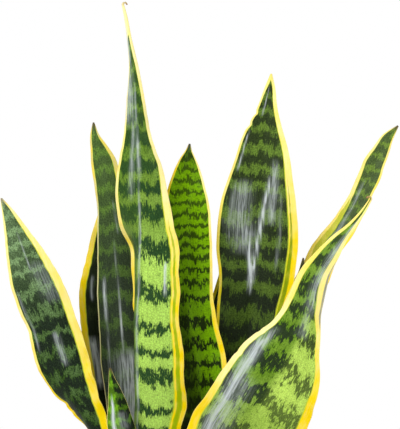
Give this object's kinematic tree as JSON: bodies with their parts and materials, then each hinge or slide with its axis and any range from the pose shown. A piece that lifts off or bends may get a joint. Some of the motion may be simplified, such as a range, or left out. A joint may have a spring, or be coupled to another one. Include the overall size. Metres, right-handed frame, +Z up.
{
  "type": "potted snake plant",
  "caption": "Snake plant with stiff upright variegated sword leaves growing from soil in a tapered clay pot with a collar and a drain hole.",
  "frame": {"origin": "on the pot's axis at the underside of its foot, which is also the bottom centre of the whole plant's box to within 3 mm", "axes": "+Z up along the pot's axis, +X to the right seen from the front, -Y towards the front, where the broad leaning leaf is nearest"},
  "size_m": [0.282, 0.1717, 0.5222],
  "materials": {
    "pot": "matte",
    "potting_soil": "matte",
    "rhizome_left": "matte",
    "rhizome_front": "matte",
    "rhizome_middle": "matte",
    "rhizome_right": "matte",
    "leaf_far_left": "satin",
    "leaf_behind_left": "satin",
    "leaf_back_left": "satin",
    "leaf_tall": "satin",
    "leaf_centre": "satin",
    "leaf_broad_right": "satin",
    "leaf_front_right": "satin",
    "leaf_far_right": "satin",
    "leaf_young_left": "satin",
    "leaf_behind_centre": "satin",
    "leaf_young_right": "satin"
  },
  "bodies": {
    "root": {"pot": "pot", "potting_soil": "potting_soil", "rhizome_left": "rhizome_left", "rhizome_front": "rhizome_front", "rhizome_middle": "rhizome_middle", "rhizome_right": "rhizome_right", "leaf_far_left": "leaf_far_left", "leaf_behind_left": "leaf_behind_left", "leaf_back_left": "leaf_back_left", "leaf_tall": "leaf_tall", "leaf_centre": "leaf_centre", "leaf_broad_right": "leaf_broad_right", "leaf_front_right": "leaf_front_right", "leaf_far_right": "leaf_far_right", "leaf_young_left": "leaf_young_left", "leaf_behind_centre": "leaf_behind_centre", "leaf_young_right": "leaf_young_right"}
  },
  "joints": []
}
